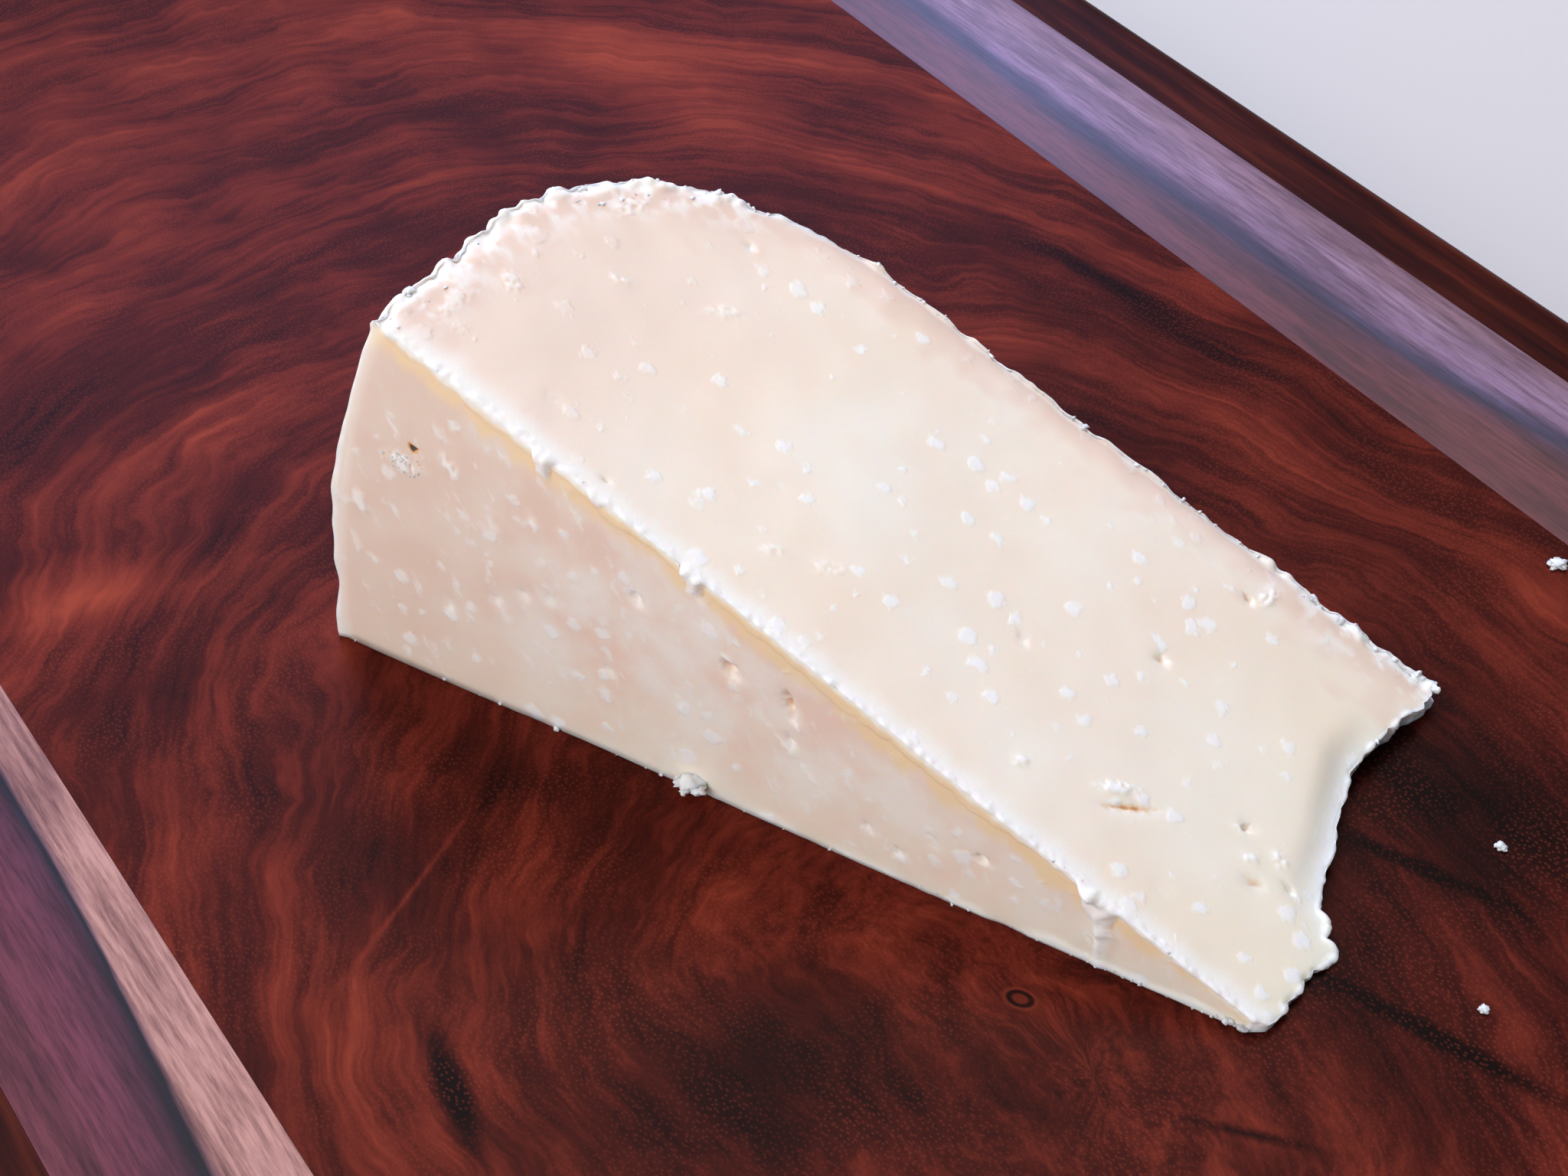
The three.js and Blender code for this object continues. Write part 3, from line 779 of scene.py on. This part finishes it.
def long_grain(name, line_at, line_rise, bands, roughness, shine):
    """Wood along the grain. The dark line lies line_at mm from the panel and line_rise mm more
    towards +X; bands are colours over BAND_SPAN mm, the line at 0.5."""
    material, tree = new_material(name)
    where = add_node(tree, "ShaderNodeTexCoord")
    place = add_node(tree, "ShaderNodeSeparateXYZ", [("Vector", where, "Object")])
    from_middle = add_node(tree, "ShaderNodeMath", [(0, place, "Y")], operation="SUBTRACT",
                           _1=(panel_high[1] + panel_low[1]) / 2 * MM)
    side_y = add_node(tree, "ShaderNodeMath", [(0, from_middle, 0)], operation="ABSOLUTE")
    rise = add_node(tree, "ShaderNodeMapRange", [("Value", place, "X")], interpolation_type="SMOOTHSTEP",
                    _1=20 * MM, _2=90 * MM, _3=line_at * MM, _4=(line_at + line_rise) * MM)
    along = add_node(tree, "ShaderNodeVectorMath", [(0, where, "Object")], operation="MULTIPLY",
                     _1=(0.08, 1, 1))
    sway = add_node(tree, "ShaderNodeTexNoise", [("Vector", along, 0)], Scale=1 / (4 * MM), Detail=4.0)
    sway_mm = add_node(tree, "ShaderNodeMath", [(0, sway, "Fac")], operation="MULTIPLY_ADD",
                       _1=-4 * MM, _2=2 * MM)
    from_line = add_node(tree, "ShaderNodeMath", [(0, side_y, 0), (1, rise, 0)], operation="SUBTRACT")
    swayed = add_node(tree, "ShaderNodeMath", [(0, from_line, 0), (1, sway_mm, 0)], operation="ADD")
    share = add_node(tree, "ShaderNodeMath", [(0, swayed, 0)], operation="MULTIPLY_ADD",
                     _1=1 / (BAND_SPAN * MM),
                     _2=0.5 - (panel_high[1] - panel_low[1]) / (2 * BAND_SPAN))
    band = colour_ramp(tree, share, 0, bands)
    streaks = add_node(tree, "ShaderNodeTexNoise", [("Vector", along, 0)], Scale=1 / (0.6 * MM), Detail=6.0,
                       Roughness=0.7)
    streak_tone = colour_ramp(tree, streaks, "Fac", [(0.36, "#8E7478"), (0.5, "#DCD2D2"), (0.6, "#FFFFFF")])
    cloud = add_node(tree, "ShaderNodeTexNoise", [("Vector", along, 0)], Scale=1 / (3 * MM), Detail=4.0)
    cloud_tone = colour_ramp(tree, cloud, "Fac", [(0.38, "#9E8890"), (0.55, "#FFFFFF")])
    streaked = mix_colour(tree, 0.7, (band, 0), (streak_tone, 0), blend_type="MULTIPLY")
    colour = mix_colour(tree, 0.6, (streaked, 2), (cloud_tone, 0), blend_type="MULTIPLY")
    bump = add_node(tree, "ShaderNodeBump", [("Height", streaks, "Fac")], Strength=0.3, Distance=0.05 * MM)
    shader = add_node(tree, "ShaderNodeBsdfPrincipled", [("Base Color", colour, 2), ("Normal", bump, 0)],
                      Roughness=roughness, IOR=1.5, Specular_IOR_Level=shine)
    add_node(tree, "ShaderNodeOutputMaterial", [("Surface", shader, 0)])
    return material


rail_woods = {
    "front_rail": long_grain("oiled_front_rail_hardwood", 5.6, 4.4, [
        (0.0, "#BC8E86"), (0.445, "#B48880"), (0.475, "#866268"), (0.495, "#1A1824"), (0.515, "#241C28"),
        (0.56, "#50283A"), (0.75, "#6B3244"), (1.0, "#6C343F")], 0.42, 0.13),
    # Back rail: its lavender outer half is painted sheen, the bluish window light reflected, laid into the
    # colour.
    "back_rail": long_grain("oiled_back_rail_hardwood_painted_sheen", 10.0, 6.0, [
        (0.1, "#652E32"), (0.3, "#683438"), (0.44, "#5C3444"), (0.5, "#382E4A"), (0.56, "#4C4060"),
        (0.64, "#866A8A"), (0.9, "#967890"), (1.0, "#866474")], 0.34, 0.5),
}
for node, wood in rail_woods.items():
    rail = board_strip(f"board_{node}", flat_section(node), None, wood)
    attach(rail, "root")
    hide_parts(node)

# ---- front_edge and back_edge ------------------------------------------------
# Dark red-brown strips along the board's two long edges, along the grain, rounded over above and
# below and oiled like the panel.

EDGE_RADIUS = 4.5
EDGE_STEPS = 12
edge_wood, tree = new_material("oiled_dark_edge_hardwood")
where = add_node(tree, "ShaderNodeTexCoord")
along = add_node(tree, "ShaderNodeVectorMath", [(0, where, "Object")], operation="MULTIPLY", _1=(0.06, 1, 1))
streaks = add_node(tree, "ShaderNodeTexNoise", [("Vector", along, 0)], Scale=1 / (2.5 * MM), Detail=6.0,
                   Roughness=0.65)
edge_colour = colour_ramp(tree, streaks, "Fac", [(0.3, "#1C0806"), (0.5, "#330F09"), (0.7, "#542012")])
bump = add_node(tree, "ShaderNodeBump", [("Height", streaks, "Fac")], Strength=0.2, Distance=0.06 * MM)
shader = add_node(tree, "ShaderNodeBsdfPrincipled", [("Base Color", edge_colour, 0), ("Normal", bump, 0)],
                  Roughness=0.42, IOR=1.5, Specular_IOR_Level=0.04)
add_node(tree, "ShaderNodeOutputMaterial", [("Surface", shader, 0)])

for node, side, glued, outer in (("front_edge", -1, 1, 0), ("back_edge", 1, 0, 1)):
    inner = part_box(node)[glued][1] / MM - side * widen
    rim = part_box(node)[outer][1] / MM - side * EDGE_RADIUS
    angles = [k / EDGE_STEPS * math.pi / 2 for k in range(EDGE_STEPS + 1)]
    lower = [(rim + side * EDGE_RADIUS * math.sin(a), EDGE_RADIUS * (1 - math.cos(a))) for a in angles]
    upper = [(across, board_thickness - height) for across, height in lower[::-1]]
    section = [(inner, 0), *lower, *upper, (inner, board_thickness)]
    edge = board_strip(f"board_{node}", section, inner, edge_wood)
    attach(edge, "root")
    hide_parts(node)

# ---- floor, light and camera -------------------------------------------------
# A pale tabletop, soft window light from behind and from the left, one light overhead and a fill
# in front; the camera looks down at the wedge's cut face.

bm = bmesh.new()
bmesh.ops.create_grid(bm, x_segments=1, y_segments=1, size=3.0)
pale, tree = new_material("pale_matt_tabletop")
shader = add_node(tree, "ShaderNodeBsdfPrincipled", Base_Color=srgb("#C9C7C4"), Roughness=0.7)
add_node(tree, "ShaderNodeOutputMaterial", [("Surface", shader, 0)])
floor = mesh_object("tabletop", bm, pale)

board_top = Vector((0, 0, board_thickness * MM))


def soft_light(name, azimuth, elevation, distance, width, height, power, colour):
    """A lamp that faces the board from a direction: azimuth 0 is -Y, 90 is +X."""
    az, el = math.radians(azimuth), math.radians(elevation)
    direction = Vector((math.sin(az) * math.cos(el), -math.cos(az) * math.cos(el), math.sin(el)))
    lamp = bpy.data.lights.new(name, "AREA")
    lamp.shape, lamp.size, lamp.size_y = "RECTANGLE", width, height
    lamp.energy, lamp.color = power, srgb(colour)[:3]
    obj = bpy.data.objects.new(name, lamp)
    obj.location = board_top + direction * distance
    obj.rotation_euler = direction.to_track_quat("Z", "Y").to_euler()
    bpy.context.scene.collection.objects.link(obj)


soft_light("overhead_softbox", 232, 68, 1.2, 0.9, 0.9, 11.6, "#FFFDFC")
soft_light("low_window_behind", 249, 32, 1.2, 0.95, 0.4, 5.5, "#AEBBFF")
soft_light("high_window_left", 264, 46, 1.2, 0.6, 0.6, 2.2, "#AEBBFF")
soft_light("fill_in_front", 10, 30, 1.4, 1.0, 1.0, 15.5, "#FFF8F5")

world = bpy.data.worlds.new("soft_room")
world.use_nodes = True
world.node_tree.nodes["Background"].inputs["Color"].default_value = srgb("#DDE2F0")
world.node_tree.nodes["Background"].inputs["Strength"].default_value = 0.2
bpy.context.scene.world = world

SENSOR_WIDTH = 36.0
CAMERA_AZIMUTH = math.radians(56.6)
CAMERA_ELEVATION = math.radians(41.44)
CAMERA_DISTANCE = 0.3328
LENS = 61.5
aim = Vector((0.0317, -0.0013, board_top.z))
toward = Vector((math.sin(CAMERA_AZIMUTH) * math.cos(CAMERA_ELEVATION),
                 -math.cos(CAMERA_AZIMUTH) * math.cos(CAMERA_ELEVATION), math.sin(CAMERA_ELEVATION)))
camera_data = bpy.data.cameras.new("photo_view")
camera_data.lens, camera_data.sensor_width, camera_data.clip_start = LENS, SENSOR_WIDTH, 0.01
camera = bpy.data.objects.new("photo_view", camera_data)
camera.location = aim + toward * CAMERA_DISTANCE
camera.rotation_euler = toward.to_track_quat("Z", "Y").to_euler()
bpy.context.scene.collection.objects.link(camera)
bpy.context.scene.camera = camera
bpy.context.scene.view_settings.view_transform = "Standard"
